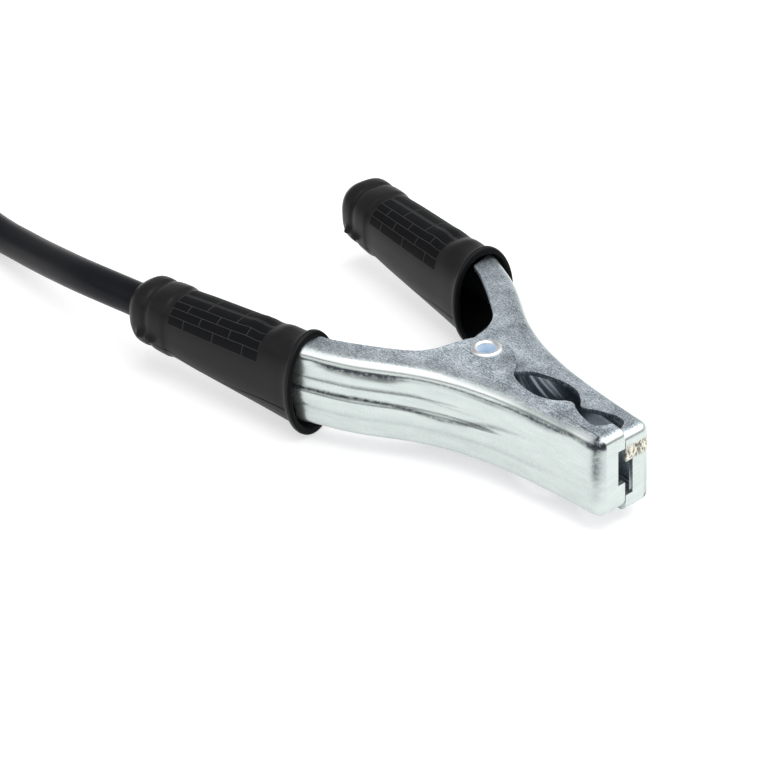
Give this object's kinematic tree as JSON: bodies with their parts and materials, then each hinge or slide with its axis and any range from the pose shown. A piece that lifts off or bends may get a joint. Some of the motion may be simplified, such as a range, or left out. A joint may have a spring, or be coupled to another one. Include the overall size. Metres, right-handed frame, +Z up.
{
  "type": "ground clamp",
  "caption": "Spring clamp for a welding earth lead: pressed steel jaws on a tubular rivet, rubber grips, a coiled cable and its plug.",
  "frame": {"origin": "centre of the clamp's footprint, without its lead, on the surface it lies on", "axes": "+X towards the nose of the jaws, +Y towards the free lever, +Z up along the pivot"},
  "size_m": [0.509, 0.1598, 0.064],
  "materials": {
    "zinc": "satin",
    "spring_steel": "satin",
    "rubber": "satin",
    "jacket": "satin",
    "tie": "matte",
    "copper": "satin",
    "brass": "satin"
  },
  "bodies": {
    "cable_side": {"cable_lever": "zinc", "pivot_rivet": "zinc", "spacer_bush": "spring_steel", "torsion_spring": "spring_steel", "cable_grip": "rubber", "cable_lug": "copper", "lug_bolt": "zinc", "lug_spring_washer": "zinc", "lug_nut": "zinc", "conductor_end": "copper", "cable_in_grip": "jacket", "cable_run": "jacket", "cable_coil": "jacket", "cable_tail": "jacket", "coil_ties": "tie", "plug_sleeve": "rubber", "plug_pin": "brass", "plug_ferrule": "copper", "plug_conductor": "copper", "plug_grub_screws": "spring_steel"},
    "free_side": {"free_lever": "zinc", "free_grip": "rubber"}
  },
  "joints": [
    {"name": "jaw_pivot", "type": "hinge", "parent": "cable_side", "child": "free_side", "pos_m": [0.0262, 0, 0.0196], "axis": [0, 0, 1], "range_deg": [0, 30], "stiffness_Nm_per_rad": 8, "springref_deg": -34.38, "deforming": ["torsion_spring"]}
  ]
}
